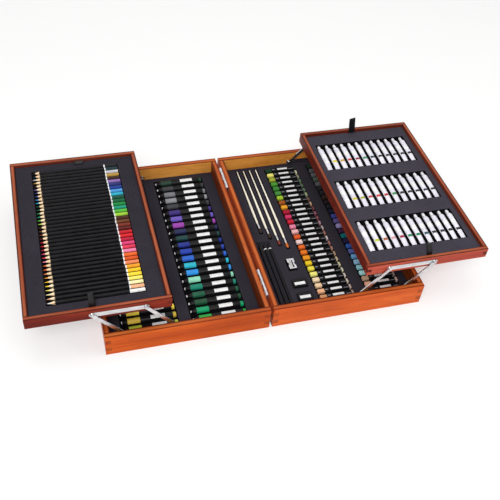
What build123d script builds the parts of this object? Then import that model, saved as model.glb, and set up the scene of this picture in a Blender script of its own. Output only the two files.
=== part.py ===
from build123d import *
import math
import os

os.makedirs("parts", exist_ok=True)

# A wooden art set box, opened flat: two shallow cases hinged along their long
# inner walls, each with a tray that swings up and outwards on parallel links.
# X runs across both cases, Y from the front to the back, Z up; the origin is
# on the floor under the middle of the hinge gap. All sizes are millimetres.

# Cases
case_length = 457.0
case_width = 312.0
case_height = 50.0
case_wall = 11.0
case_bottom = 4.0
hinge_gap = 6.0
case_fingers = 5
case_end_margin = 12.0

# Trays
tray_end_gap = 7.0
tray_width = 258.0
tray_height = 23.0
tray_wall = 9.0
tray_bottom = 3.0
tray_fingers = 3
tray_bevel = 1.5
tray_bevel_slope = 45.0
tray_overlap = 126.0
tray_open_bottom = 88.0
tray_end_margin = 18.0
tray_side_margin = 12.0

# Moulded inserts
case_insert_top = 20.0
pencil_insert_height = 15.0
tube_insert_height = 14.0
insert_play = 0.5
pocket_play = 0.3

# Swing links
link_width = 7.0
link_thickness = 2.0
bar_height = 10.0
bar_thickness = 1.5
bar_end = 6.0
pivot_from_edge = 47.0
pivot_spacing = 95.0
case_pivot_height = 26.0
rivet_radius = 2.0
rivet_head_radius = 3.5
rivet_head = 1.1
rivet_head_slope = 20.0
rivet_sides = 12
rivet_play = 0.3
link_play = 0.4
stop_radius = 1.5
stop_distance = 9.0

# Centre hinges
hinge_length = 68.0
hinge_from_end = 71.0
leaf_height = 22.0
leaf_thickness = 1.2
knuckle_radius = 2.7
hinge_pin_radius = 1.2
knuckle_count = 5
knuckle_play = 0.3

# Carrying handle and hasps, on the outer walls
handle_span = 104.0
handle_drop = 25.0
handle_grip = 8.0
handle_corner = 8.8
handle_eye_radius = 4.6
handle_eye_width = 9.0
handle_wall_play = 1.0
handle_pivot_height = 36.0
handle_pin_radius = 1.8
handle_pin_end = 1.0
mount_plate = 1.5
mount_width = 16.0
mount_height = 18.0
mount_ear = 4.0
hasp_from_middle = 135.0
hasp_width = 20.0
hasp_leaf_width = 16.0
hasp_drop = 24.0
hasp_thickness = 1.4
hasp_knuckle_radius = 2.4
hasp_pin_radius = 1.0
hasp_pivot_height = 43.0
hasp_plate_thickness = 1.0
strike_plate_height = 18.0
strike_knob_radius = 3.0
strike_neck_radius = 2.1
strike_slot_play = 1.0
strike_slot_travel = 3.0
strike_knob_length = 4.0

# Crayons in the left case
crayon_length = 104.0
crayon_radius = 6.5
crayon_tip = 11.0
crayon_tip_radius = 2.6
crayon_sides = 10
crayon_pitch = 19.6
crayon_shift = 1.2
crayon_rise = 0.5

# Pastels in the right case
pastel_length = 70.5
pastel_side = 10.5
pastel_pitch = 15.56
pastel_from_wall = 21.5
pastel_inner_share = 0.295

# Brushes and drawing tools in the right case
brush_from_back = 11.0
brush_from_hinge = 31.5
brush_pitch = 14.7
first_brush_past_pencils = 25.5
second_brush_past_pencils = 6.8
third_brush_past_pencils = -16.1
fourth_brush_past_pencils = -27.2
brush_radius = 2.7
brush_neck_radius = 2.2
brush_tail_radius = 1.1
brush_belly = 40.0
ferrule_radius = 2.55
ferrule_length = 16.0
bristle_root_radius = 2.3
bristle_belly_radius = 2.55
bristle_point_radius = 0.8
bristle_length = 13.0
graphite_from_hinge = 17.0
graphite_from_front = 22.0
graphite_pitch = 10.0
graphite_count = 3
graphite_length = 173.0
graphite_radius = 3.6
sharpener_from_hinge = 67.5
sharpener_from_front = 120.0
sharpener_size = (15.0, 27.0, 10.0)
sharpener_hollow_radius = 5.7
sharpener_hollow_offset = 11.25
sharpener_bore_radius = 3.6
sharpener_bore_depth = 21.6
sharpener_bore_drop = 0.5
sharpener_bore_slope = 5.0
eraser_from_hinge = 68.5
eraser_from_front = 32.0
eraser_spacing = 35.5
eraser_size = (30.0, 20.0, 10.0)
eraser_corner = 1.5

# Colour pencils in the left tray
pencil_length = 172.4
pencil_radius = 3.75
pencil_cone = 17.0
pencil_point_radius = 0.45
pencil_pitch = 10.08
pencil_tip_from_middle = 86.2
pencil_trough = 70.0
pencil_trough_play = 1.0

# Paint tubes in the right tray
tube_length = 84.0
tube_radius = 6.6
tube_sides = 10
tube_sunk = 10.56
tube_shoulder = 5.0
tube_slope = 45.0
tube_cap_length = 9.5
tube_cap_radius = 3.7
tube_cap_slope = 3.0
tube_crimp = 5.0
tube_crimp_thickness = 1.6
tube_pitch = 18.05
tube_row_pitch = 124.0

# Ribbon pull tabs on the trays
tab_width = 18.0
tab_thickness = 1.4
tab_height = 32.0
tab_lean = 9.0
tab_offset = 10.0

# Sizes that follow from the ones above
SIDES = {"left": -1, "right": 1}
ENDS = {"front": -1, "back": 1}
tray_length = case_length - 2 * case_wall - 2 * tray_end_gap
case_middle = hinge_gap / 2 + case_width / 2
case_inner_face = hinge_gap / 2 + case_wall
case_outer_face = hinge_gap / 2 + case_width - case_wall
case_outside = hinge_gap / 2 + case_width
case_inside_half = case_length / 2 - case_wall
tray_open_edge = case_outside - tray_overlap
tray_middle = tray_open_edge + tray_width / 2
tray_top = tray_open_bottom + tray_height
tray_closed_bottom = case_height - tray_height
tray_pivot_height = tray_open_bottom + tray_height / 2
tray_travel = tray_open_edge - (case_middle - tray_width / 2)
open_rise = tray_pivot_height - case_pivot_height
closed_rise = tray_closed_bottom + tray_height / 2 - case_pivot_height
open_run = tray_travel / 2 - (open_rise**2 - closed_rise**2) / (2 * tray_travel)
link_length = math.hypot(open_run, open_rise)
link_angle = math.degrees(math.atan2(open_rise, open_run))
tray_pivot_x = tray_open_edge + pivot_from_edge
case_pivot_x = tray_pivot_x - open_run
link_face = tray_end_gap - bar_thickness - link_play
handle_axis_x = -(case_outside + mount_plate + handle_grip / 2 + handle_wall_play)
hasp_axis_x = -(case_outside + hasp_plate_thickness + hasp_knuckle_radius)
crayon_gap = (case_width - 2 * case_wall - 2 * crayon_length) / 3
crayon_inner_start = case_inner_face + crayon_gap + crayon_shift + crayon_length
crayon_outer_start = crayon_inner_start + crayon_gap + crayon_shift + crayon_length
brush_first = case_inner_face + brush_from_hinge
graphite_first = case_inner_face + graphite_from_hinge
sharpener_x = case_inner_face + sharpener_from_hinge
eraser_x = case_inner_face + eraser_from_hinge
brush_back = case_inside_half - brush_from_back
graphite_front = graphite_from_front - case_inside_half
sharpener_y = sharpener_from_front - case_inside_half
eraser_y = (eraser_from_front + eraser_spacing - case_inside_half, eraser_from_front - case_inside_half)
brush_fronts = [graphite_front + graphite_length + past for past in (
    first_brush_past_pencils, second_brush_past_pencils, third_brush_past_pencils, fourth_brush_past_pencils)]
pastel_outer_start = case_outer_face - pastel_from_wall - pastel_length
tools_edge = eraser_x + eraser_size[0] / 2
pastel_play = pastel_outer_start - tools_edge - pastel_length
pastel_inner_start = tools_edge + pastel_inner_share * pastel_play


def save(piece, name):
    """Label one finished piece and write its file."""
    piece.part.label = name
    export_step(piece.part, f"parts/{name}.step")


def end_plane(end, depth):
    """A plane square to Y, at a depth in from a case's end wall."""
    return Plane.XZ.offset(-end * (case_inside_half - depth))


def inward(end, thickness):
    """The extrusion that runs from an end wall towards the middle."""
    return end * thickness


def evenly(count, pitch):
    """Places along a line, centred on zero, from the back to the front."""
    return [pitch * ((count - 1) / 2 - number) for number in range(count)]


def fitting(room, size, pitch):
    """How many pieces of a size fit in a room when they repeat at a pitch."""
    return int((room - size) / pitch) + 1


def ring(sides, radius):
    """Corners of a regular polygon; with ten sides, one corner points straight up."""
    turns = [math.tau * (number + 0.5) / sides for number in range(sides)]
    return [(radius * math.cos(turn), radius * math.sin(turn)) for turn in turns]


def slope(sides, wide, narrow, length):
    """The taper that brings a polygon's corner radius from wide to narrow in a length."""
    return math.degrees(math.atan2((wide - narrow) * math.cos(math.pi / sides), length))


# Frames with finger joints


def frame_wall(name, middle, across, along, wall, height, floor, fingers, first, bevelled):
    """One wall of a box frame; first is the lowest level it leaves to its neighbour."""
    finger = height / fingers
    lengthwise = along > across
    half = (along if lengthwise else across) / 2 - wall / 2
    places = []
    for level in range(first, fingers, 2):
        for way in (-1, 1):
            shift = (0, way * half) if lengthwise else (way * half, 0)
            places.append((middle[0] + shift[0], middle[1] + shift[1], floor + finger * level))
    with BuildPart() as piece:
        with BuildSketch(Plane.XY.offset(floor)):
            with Locations(middle):
                Rectangle(across, along)
        extrude(amount=height)
        with Locations(*places):
            Box(wall, wall, finger, align=(Align.CENTER, Align.CENTER, Align.MIN), mode=Mode.SUBTRACT)
        if bevelled:
            wide, long = (size - 2 * (wall - tray_bevel) for size in (tray_width, tray_length))
            with BuildSketch(Plane.XY.offset(floor + height)):
                with Locations((math.copysign(tray_middle, middle[0]), 0)):
                    Rectangle(wide, long)
            extrude(amount=-tray_bevel, taper=tray_bevel_slope, mode=Mode.SUBTRACT)
    save(piece, name)


def case_frame(side, sign):
    for end, way in ENDS.items():
        middle = (sign * case_middle, way * (case_length - case_wall) / 2)
        frame_wall(f"{side}_case_{end}_wall", middle, case_width, case_wall, case_wall,
                   case_height, 0, case_fingers, 1, False)
    for place, x in (("hinge", hinge_gap / 2 + case_wall / 2), ("outer", case_outside - case_wall / 2)):
        frame_wall(f"{side}_case_{place}_wall", (sign * x, 0), case_wall, case_length, case_wall,
                   case_height, 0, case_fingers, 0, False)


def tray_frame(side, sign):
    for end, way in ENDS.items():
        middle = (sign * tray_middle, way * (tray_length - tray_wall) / 2)
        frame_wall(f"{side}_tray_{end}_wall", middle, tray_width, tray_wall, tray_wall,
                   tray_height, tray_open_bottom, tray_fingers, 1, True)
    reach = (tray_width - tray_wall) / 2
    for place, x in (("inner", tray_middle - reach), ("outer", tray_middle + reach)):
        frame_wall(f"{side}_tray_{place}_wall", (sign * x, 0), tray_wall, tray_length, tray_wall,
                   tray_height, tray_open_bottom, tray_fingers, 0, True)


def panel(name, x, across, along, floor, thickness):
    with BuildPart() as piece:
        with BuildSketch(Plane.XY.offset(floor)):
            with Locations((x, 0)):
                Rectangle(across, along)
        extrude(amount=thickness)
    save(piece, name)


# Moulded inserts


def insert(name, x, across, along, floor, top, pockets):
    """A block with pockets; each pocket row is a depth, places, width and length."""
    with BuildPart() as block:
        with BuildSketch(Plane.XY.offset(floor)):
            with Locations((x, 0)):
                Rectangle(across - 2 * insert_play, along - 2 * insert_play)
        extrude(amount=top - floor)
        for depth, places, pocket_width, pocket_length in pockets:
            with BuildSketch(Plane.XY.offset(top)):
                with Locations(*places):
                    Rectangle(pocket_width + 2 * pocket_play, pocket_length + 2 * pocket_play)
            extrude(amount=-depth, mode=Mode.SUBTRACT)
    save(block, name)


def case_insert(name, sign, pockets):
    insert(name, sign * case_middle, case_width - 2 * case_wall, case_length - 2 * case_wall,
           case_bottom, case_insert_top, pockets)


def case_rows(size, pitch):
    """The rows that fit between a case's end walls."""
    return evenly(fitting(2 * (case_inside_half - case_end_margin), size, pitch), pitch)


def crayon_rows():
    return case_rows(2 * crayon_radius, crayon_pitch)


def pastel_rows():
    return case_rows(pastel_side, pastel_pitch)


def left_case_insert():
    pockets = []
    for start in (crayon_outer_start, crayon_inner_start):
        places = [(crayon_length / 2 - start, y) for y in crayon_rows()]
        pockets.append((crayon_radius + crayon_rise, places, crayon_length, 2 * crayon_radius))
    case_insert("left_case_insert", -1, pockets)


def right_case_insert():
    pockets = []
    for start in (pastel_inner_start, pastel_outer_start):
        places = [(start + pastel_length / 2, y) for y in pastel_rows()]
        pockets.append((pastel_side / 2, places, pastel_length, pastel_side))
    for number, front in enumerate(brush_fronts):
        place = (brush_first + brush_pitch * number, (brush_back + front) / 2)
        pockets.append((brush_radius + pocket_play, [place], 2 * brush_radius, brush_back - front))
    places = [(graphite_first + graphite_pitch * number, graphite_front + graphite_length / 2)
              for number in range(graphite_count)]
    pockets.append((graphite_radius, places, 2 * graphite_radius, graphite_length))
    pockets.append((sharpener_size[2] / 2, [(sharpener_x, sharpener_y)], *sharpener_size[:2]))
    pockets.append((eraser_size[2] / 2, [(eraser_x, y) for y in eraser_y], *eraser_size[:2]))
    case_insert("right_case_insert", 1, pockets)


def tab_places(sign):
    """Each pull tab's place across the tray, with the end of the tray that it is at."""
    return [(sign * (tray_middle - way * tab_offset), way) for way in ENDS.values()]


def tray_insert(name, sign, height, pockets):
    floor = tray_open_bottom + tray_bottom
    reach = tray_length / 2 - tray_wall - insert_play - tab_thickness / 2
    slots = [(x, way * reach) for x, way in tab_places(sign)]
    insert(name, sign * tray_middle, tray_width - 2 * tray_wall, tray_length - 2 * tray_wall,
           floor, floor + height, pockets + [(height, slots, tab_width, tab_thickness)])


def tray_rows(size, pitch):
    """The rows that fit between a tray's end walls."""
    return evenly(fitting(tray_length - 2 * tray_wall - 2 * tray_end_margin, size, pitch), pitch)


def pencil_rows():
    return tray_rows(2 * pencil_radius, pencil_pitch)


def left_tray_insert():
    rows = pencil_rows()
    places = [(pencil_length / 2 - pencil_tip_from_middle - tray_middle, y) for y in rows]
    flat_radius = pencil_radius * math.cos(math.pi / 6)
    pockets = [(flat_radius, places, pencil_length, 2 * pencil_radius),
               (pencil_radius + pencil_trough_play, [(-tray_middle, 0)], pencil_trough, rows[0] - rows[-1])]
    tray_insert("left_tray_insert", -1, pencil_insert_height, pockets)


def tube_places():
    room = tray_width - 2 * tray_wall - 2 * tray_side_margin
    columns = evenly(fitting(room, 2 * tube_radius, tube_pitch), tube_pitch)
    return [(tray_middle + x, y) for y in tray_rows(tube_length, tube_row_pitch) for x in columns]


def right_tray_insert():
    pockets = [(tube_sunk, tube_places(), 2 * tube_radius, tube_length)]
    tray_insert("right_tray_insert", 1, tube_insert_height, pockets)


# Links, bars and rivets


def link_pair(name, sign, number):
    """The front and back links of one pair; number 0 is nearest the hinge."""
    x = case_pivot_x + pivot_spacing * number
    middle = (sign * (x + open_run / 2), (case_pivot_height + tray_pivot_height) / 2)
    pivots = [(sign * x, case_pivot_height), (sign * (x + open_run), tray_pivot_height)]
    with BuildPart() as links:
        for way in ENDS.values():
            with BuildSketch(end_plane(way, link_face - link_thickness)):
                with Locations(middle):
                    SlotCenterToCenter(link_length, link_width, rotation=sign * link_angle)
                with Locations(*pivots):
                    Circle(rivet_radius + rivet_play, mode=Mode.SUBTRACT)
            extrude(amount=inward(way, link_thickness))
    save(links, name)


def case_bars(side, sign):
    """The bar inside each end wall that carries the case ends of the links."""
    run = math.cos(math.radians(link_angle))
    rise = math.sin(math.radians(link_angle))
    off = link_width / 2 + stop_radius + rivet_play
    stop_x = stop_distance * run + off * rise
    stop_z = stop_distance * rise - off * run
    left = case_pivot_x - bar_end
    right = case_pivot_x + pivot_spacing + stop_x + stop_radius + bar_end / 2
    pivots = [(sign * (case_pivot_x + pivot_spacing * n), case_pivot_height) for n in (0, 1)]
    stops = [(x + sign * stop_x, z + stop_z) for x, z in pivots]
    with BuildPart() as bars:
        for way in ENDS.values():
            with BuildSketch(end_plane(way, 0)):
                with Locations((sign * (left + right) / 2, case_pivot_height)):
                    SlotOverall(right - left, bar_height)
                with Locations(*pivots):
                    Circle(rivet_radius + pocket_play / 2, mode=Mode.SUBTRACT)
            extrude(amount=inward(way, bar_thickness))
            with BuildSketch(end_plane(way, bar_thickness)):
                with Locations(*stops):
                    Circle(stop_radius)
            extrude(amount=inward(way, link_face - bar_thickness))
    save(bars, f"{side}_case_bars")


def tray_bars(side, sign):
    """The bar outside each end of the tray that carries the upper ends of the links."""
    pivots = [(sign * (tray_pivot_x + pivot_spacing * n), tray_pivot_height) for n in (0, 1)]
    with BuildPart() as bars:
        for way in ENDS.values():
            with BuildSketch(end_plane(way, link_face + link_play)):
                with Locations((sign * (tray_pivot_x + pivot_spacing / 2), tray_pivot_height)):
                    SlotOverall(pivot_spacing + 2 * bar_end, bar_height)
                with Locations(*pivots):
                    Circle(rivet_radius + pocket_play / 2, mode=Mode.SUBTRACT)
            extrude(amount=inward(way, bar_thickness))
    save(bars, f"{side}_tray_bars")


def case_rivets(side, sign):
    """Rivets from the end walls through the bars and the lower ends of the links."""
    pivots = [(sign * (case_pivot_x + pivot_spacing * n), case_pivot_height) for n in (0, 1)]
    collar = link_face - link_thickness - bar_thickness - rivet_play / 2
    with BuildPart() as rivets:
        for way in ENDS.values():
            with BuildSketch(end_plane(way, 0)):
                with Locations(*pivots):
                    RegularPolygon(rivet_radius, rivet_sides)
            extrude(amount=inward(way, link_face + rivet_play / 2))
            with BuildSketch(end_plane(way, bar_thickness)):
                with Locations(*pivots):
                    RegularPolygon(rivet_head_radius, rivet_sides)
            extrude(amount=inward(way, collar))
            with BuildSketch(end_plane(way, link_face + rivet_play / 2)):
                with Locations(*pivots):
                    RegularPolygon(rivet_head_radius, rivet_sides)
            extrude(amount=inward(way, rivet_head), taper=rivet_head_slope)
    save(rivets, f"{side}_case_rivets")


def tray_rivets(side, sign):
    """Rivets from the tray through its bars and the upper ends of the links."""
    pivots = [(sign * (tray_pivot_x + pivot_spacing * n), tray_pivot_height) for n in (0, 1)]
    head_face = link_face - link_thickness - rivet_play / 2
    tray_face = link_face + link_play + bar_thickness
    with BuildPart() as rivets:
        for way in ENDS.values():
            with BuildSketch(end_plane(way, tray_face)):
                with Locations(*pivots):
                    RegularPolygon(rivet_radius, rivet_sides)
            extrude(amount=inward(way, head_face - tray_face))
            with BuildSketch(end_plane(way, head_face)):
                with Locations(*pivots):
                    RegularPolygon(rivet_head_radius, rivet_sides)
            extrude(amount=inward(way, -rivet_head), taper=rivet_head_slope)
    save(rivets, f"{side}_tray_rivets")


# Centre hinges


def hinge_places():
    return [way * (case_length / 2 - hinge_from_end) for way in ENDS.values()]


def hinge_leaves(side, sign):
    """Both leaves of one side, each with its share of the knuckles."""
    knuckle = hinge_length / knuckle_count
    mine = [n for n in range(knuckle_count) if n % 2 == (0 if sign < 0 else 1)]
    with BuildPart() as leaves:
        for middle in hinge_places():
            back = middle + hinge_length / 2
            with BuildSketch(Plane.XZ.offset(-back)):
                with Locations((sign * (hinge_gap / 2 - leaf_thickness / 2), case_height)):
                    Rectangle(leaf_thickness, leaf_height, align=(Align.CENTER, Align.MAX))
            extrude(amount=hinge_length)
            for number in range(knuckle_count):
                own = number in mine
                shorter = knuckle_play if own else -knuckle_play
                start = back - knuckle * number - shorter / 2
                if own:
                    with BuildSketch(Plane.XZ.offset(-start)):
                        with Locations((0, case_height)):
                            Circle(knuckle_radius)
                    extrude(amount=knuckle - knuckle_play)
                else:
                    with BuildSketch(Plane.XZ.offset(-start)):
                        with Locations((0, case_height)):
                            Circle(knuckle_radius + knuckle_play)
                    extrude(amount=knuckle + knuckle_play, mode=Mode.SUBTRACT)
            with BuildSketch(Plane.XZ.offset(-back)):
                with Locations((0, case_height)):
                    Circle(hinge_pin_radius + knuckle_play / 2)
            extrude(amount=hinge_length, mode=Mode.SUBTRACT)
    save(leaves, f"{side}_hinge_leaves")


def hinge_pins():
    with BuildPart() as pins:
        for middle in hinge_places():
            with BuildSketch(Plane.XZ.offset(-middle - hinge_length / 2)):
                with Locations((0, case_height)):
                    Circle(hinge_pin_radius)
            extrude(amount=hinge_length)
    save(pins, "hinge_pins")


# Carrying handle and hasps


def handle_mounts():
    """Two plates with ears on the left outer wall; the handle's pins turn in the ears."""
    with BuildPart() as mounts:
        for way in ENDS.values():
            y = way * handle_span / 2
            with BuildSketch(Plane.YZ.offset(-case_outside)):
                with Locations((y, handle_pivot_height)):
                    Rectangle(mount_width, mount_height)
            extrude(amount=-mount_plate)
            with BuildSketch(Plane.XZ.offset(-y - mount_ear / 2)):
                with BuildLine():
                    reach = -handle_axis_x
                    Polyline((-case_outside - mount_plate, handle_pivot_height + mount_ear),
                             (-reach, handle_pivot_height + mount_ear),
                             (-reach - mount_ear, handle_pivot_height),
                             (-reach, handle_pivot_height - mount_ear),
                             (-case_outside - mount_plate, handle_pivot_height - mount_ear), close=True)
                make_face()
                with Locations((handle_axis_x, handle_pivot_height)):
                    Circle(handle_pin_radius + rivet_play, mode=Mode.SUBTRACT)
            extrude(amount=mount_ear)
    save(mounts, "handle_mounts")


def carry_handle():
    """A bail that hangs from the mounts: a round grip, two arms with eyes, and two pins."""
    arm_y = handle_span / 2 - mount_ear / 2 - rivet_play - handle_eye_width / 2
    low = handle_pivot_height - handle_drop
    with BuildPart() as bail:
        with BuildLine(Plane.YZ.offset(handle_axis_x)) as route:
            FilletPolyline((-arm_y, handle_pivot_height), (-arm_y, low), (arm_y, low),
                           (arm_y, handle_pivot_height), radius=handle_corner)
        with BuildSketch(Plane.XY.offset(handle_pivot_height)):
            with Locations((handle_axis_x, -arm_y)):
                Circle(handle_grip / 2)
        sweep(path=route.wires()[0])
        for way in ENDS.values():
            with BuildSketch(Plane.XZ.offset(-way * (arm_y - handle_eye_width / 2))):
                with Locations((handle_axis_x, handle_pivot_height)):
                    Circle(handle_eye_radius)
            extrude(amount=-way * handle_eye_width)
            with BuildSketch(Plane.XZ.offset(-way * arm_y)):
                with Locations((handle_axis_x, handle_pivot_height)):
                    Circle(handle_pin_radius)
            extrude(amount=-way * (handle_span / 2 + mount_ear / 2 + handle_pin_end - arm_y))
    save(bail, "carry_handle")


def hasp_plates():
    """Fixed plates on the left outer wall, with the outer knuckles and a pin each."""
    knuckle = hasp_width / 3
    with BuildPart() as plates:
        for way in ENDS.values():
            y = way * hasp_from_middle
            with BuildSketch(Plane.YZ.offset(-case_outside)):
                with Locations((y, hasp_pivot_height)):
                    Rectangle(hasp_width, hasp_drop / 2, align=(Align.CENTER, Align.MAX))
            extrude(amount=-hasp_plate_thickness)
            for place in (-knuckle, knuckle):
                with BuildSketch(Plane.XZ.offset(-y - place - knuckle / 2 + knuckle_play / 2)):
                    with Locations((hasp_axis_x, hasp_pivot_height)):
                        Circle(hasp_knuckle_radius)
                extrude(amount=knuckle - knuckle_play)
            with BuildSketch(Plane.XZ.offset(-y - hasp_width / 2 + knuckle_play / 2)):
                with Locations((hasp_axis_x, hasp_pivot_height)):
                    Circle(hasp_pin_radius)
            extrude(amount=hasp_width - knuckle_play)
    save(plates, "hasp_plates")


def hasp(end, way):
    """One swinging hasp: a middle knuckle and a leaf with a slot for the strike's knob."""
    knuckle = hasp_width / 3
    y = way * hasp_from_middle
    face = hasp_axis_x - hasp_knuckle_radius
    slot_height = case_height - hasp_pivot_height + strike_plate_height / 2
    slot_width = 2 * strike_knob_radius + strike_slot_play
    with BuildPart() as leaf:
        with BuildSketch(Plane.YZ.offset(face)):
            with Locations((y, hasp_pivot_height - hasp_knuckle_radius - knuckle_play)):
                Rectangle(hasp_leaf_width, hasp_drop, align=(Align.CENTER, Align.MAX))
            with Locations((y, hasp_pivot_height - slot_height)):
                SlotOverall(slot_width + strike_slot_travel, slot_width, mode=Mode.SUBTRACT)
            with Locations((y, hasp_pivot_height)):
                Rectangle(knuckle - knuckle_play, hasp_drop / 2, align=(Align.CENTER, Align.MAX))
        extrude(amount=hasp_thickness)
        with BuildSketch(Plane.XZ.offset(-y - knuckle / 2 + knuckle_play / 2)):
            with Locations((hasp_axis_x, hasp_pivot_height)):
                Circle(hasp_knuckle_radius)
        extrude(amount=knuckle - knuckle_play)
        with BuildSketch(Plane.XZ.offset(-y - knuckle / 2)):
            with Locations((hasp_axis_x, hasp_pivot_height)):
                Circle(hasp_pin_radius + knuckle_play / 2)
        extrude(amount=knuckle, mode=Mode.SUBTRACT)
    save(leaf, f"{end}_hasp")


def hasp_strikes():
    """Plates with a headed knob on the right outer wall, where the hasps close."""
    with BuildPart() as strikes:
        for way in ENDS.values():
            y = way * hasp_from_middle
            middle = case_height - strike_plate_height / 2
            with BuildSketch(Plane.YZ.offset(case_outside)):
                with Locations((y, middle)):
                    Rectangle(hasp_width, strike_plate_height)
            extrude(amount=hasp_plate_thickness)
            with BuildSketch(Plane.YZ.offset(case_outside + hasp_plate_thickness)):
                with Locations((y, middle)):
                    Circle(strike_neck_radius)
            extrude(amount=strike_knob_length)
            with BuildSketch(Plane.YZ.offset(case_outside + hasp_plate_thickness + strike_knob_length)):
                with Locations((y, middle)):
                    Circle(strike_knob_radius)
            extrude(amount=rivet_head)
    save(strikes, "hasp_strikes")


# Contents


def cone_plane(distance):
    """A plane square to X that faces back towards a piece's tip at the origin."""
    return Plane(origin=(distance, 0, 0), x_dir=(0, 1, 0), z_dir=(-1, 0, 0))


def crayon():
    """One round crayon along X, its tip at the origin."""
    with BuildPart() as stick:
        with BuildSketch(cone_plane(crayon_tip)):
            Polygon(*ring(crayon_sides, crayon_radius), align=None)
        extrude(amount=crayon_tip, taper=slope(crayon_sides, crayon_radius, crayon_tip_radius, crayon_tip))
        with BuildSketch(cone_plane(crayon_length)):
            Polygon(*ring(crayon_sides, crayon_radius), align=None)
        extrude(amount=crayon_length - crayon_tip)
    return stick.part


def repeat(name, thing, places):
    with BuildPart() as group:
        with Locations(*places):
            add(thing)
    save(group, name)


def crayons():
    stick = crayon()
    height = case_insert_top - crayon_rise
    for name, start in (("outer_crayons", crayon_outer_start), ("inner_crayons", crayon_inner_start)):
        repeat(name, stick, [(-start, y, height) for y in crayon_rows()])


def pastels():
    with BuildPart() as stick:
        Box(pastel_length, pastel_side, pastel_side, align=(Align.MIN, Align.CENTER, Align.CENTER))
    for name, start in (("inner_pastels", pastel_inner_start), ("outer_pastels", pastel_outer_start)):
        places = [(start, y, case_insert_top) for y in pastel_rows()]
        repeat(name, stick.part, places)


def pencil(length, radius, cone):
    """One six-sided pencil along X, its point at the origin."""
    with BuildPart() as stick:
        with BuildSketch(cone_plane(cone)):
            RegularPolygon(radius, 6)
        extrude(amount=cone, taper=slope(6, radius, pencil_point_radius, cone))
        with BuildSketch(cone_plane(length)):
            RegularPolygon(radius, 6)
        extrude(amount=length - cone)
    return stick.part


def colour_pencils():
    height = tray_open_bottom + tray_bottom + pencil_insert_height
    stick = pencil(pencil_length, pencil_radius, pencil_cone)
    tip = -tray_middle - pencil_tip_from_middle
    repeat("colour_pencils", stick, [(tip, y, height) for y in pencil_rows()])


def graphite_pencils():
    stick = pencil(graphite_length, graphite_radius, pencil_cone)
    with BuildPart() as group:
        for number in range(graphite_count):
            x = graphite_first + graphite_pitch * number
            with Locations(Location((x, graphite_front + graphite_length, case_insert_top), (0, 0, -90))):
                add(stick)
    save(group, "graphite_pencils")


def brush_tips(number):
    """Back end, ferrule's start, bristles' start and tip of one brush, along Y."""
    front = brush_fronts[number]
    return brush_back, front + bristle_length + ferrule_length, front + bristle_length, front


def brushes():
    xs = [brush_first + brush_pitch * number for number in range(len(brush_fronts))]
    with BuildPart() as handles:
        for number, x in enumerate(xs):
            back, wood, _, _ = brush_tips(number)
            with BuildSketch(Plane.XY.offset(case_insert_top)):
                with BuildLine():
                    Polyline((x, wood), (x + brush_neck_radius, wood), (x + brush_radius, wood + brush_belly),
                             (x + brush_tail_radius, back), (x, back), close=True)
                make_face()
            revolve(axis=Axis((x, 0, case_insert_top), (0, 1, 0)))
    save(handles, "brush_handles")
    with BuildPart() as ferrules:
        for number, x in enumerate(xs):
            _, wood, hair, _ = brush_tips(number)
            with BuildSketch(Plane.XZ.offset(-wood)):
                with Locations((x, case_insert_top)):
                    Circle(ferrule_radius)
            extrude(amount=wood - hair)
    save(ferrules, "brush_ferrules")
    with BuildPart() as bristles:
        for number, x in enumerate(xs):
            _, _, hair, tip = brush_tips(number)
            with BuildSketch(Plane.XY.offset(case_insert_top)):
                with BuildLine():
                    Polyline((x, hair), (x + bristle_root_radius, hair),
                             (x + bristle_belly_radius, (hair + tip) / 2),
                             (x + bristle_point_radius, tip), (x, tip), close=True)
                make_face()
            revolve(axis=Axis((x, 0, case_insert_top), (0, 1, 0)))
    save(bristles, "brush_bristles")


def sharpener():
    """A metal block with finger hollows at its sides and a tapered pencil bore."""
    width, length, height = sharpener_size
    with BuildPart() as body:
        with Locations((sharpener_x, sharpener_y, case_insert_top)):
            Box(width, length, height)
        with Locations((sharpener_x - sharpener_hollow_offset, sharpener_y, case_insert_top),
                       (sharpener_x + sharpener_hollow_offset, sharpener_y, case_insert_top)):
            Cylinder(sharpener_hollow_radius, height, mode=Mode.SUBTRACT)
        with BuildSketch(Plane.XZ.offset(-(sharpener_y + length / 2))):
            with Locations((sharpener_x, case_insert_top - sharpener_bore_drop)):
                Circle(sharpener_bore_radius)
        extrude(amount=sharpener_bore_depth, taper=sharpener_bore_slope, mode=Mode.SUBTRACT)
    save(body, "pencil_sharpener")


def erasers():
    with BuildPart() as blocks:
        with Locations(*[(eraser_x, y, case_insert_top) for y in eraser_y]):
            Box(*eraser_size)
        chamfer(blocks.edges().filter_by(Axis.Z), length=eraser_corner)
    save(blocks, "erasers")


def cap_plane(distance):
    """A plane square to Y that faces the caps, at a distance from a tube's middle."""
    return Plane(origin=(0, distance, 0), x_dir=(1, 0, 0), z_dir=(0, 1, 0))


def tube_body(crimp, shoulder):
    """A tube cut to a thin wedge towards its crimp, with a shoulder that tapers to the cap."""
    half = tube_crimp_thickness / 2
    with BuildPart() as body:
        with BuildSketch(cap_plane(crimp)):
            Polygon(*ring(tube_sides, tube_radius), align=None)
        extrude(amount=shoulder - crimp)
        with BuildSketch(Plane.YZ):
            with BuildLine():
                Polyline((crimp, half), (crimp + tube_crimp, half),
                         (crimp + tube_crimp + tube_slope, tube_radius), (crimp, tube_radius), close=True)
            make_face()
            mirror(about=Plane.XZ)
        extrude(amount=tube_radius, both=True, mode=Mode.SUBTRACT)
        with BuildSketch(cap_plane(shoulder)):
            Polygon(*ring(tube_sides, tube_radius), align=None)
        extrude(amount=tube_shoulder, taper=slope(tube_sides, tube_radius, tube_cap_radius, tube_shoulder))
    return body.part


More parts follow.
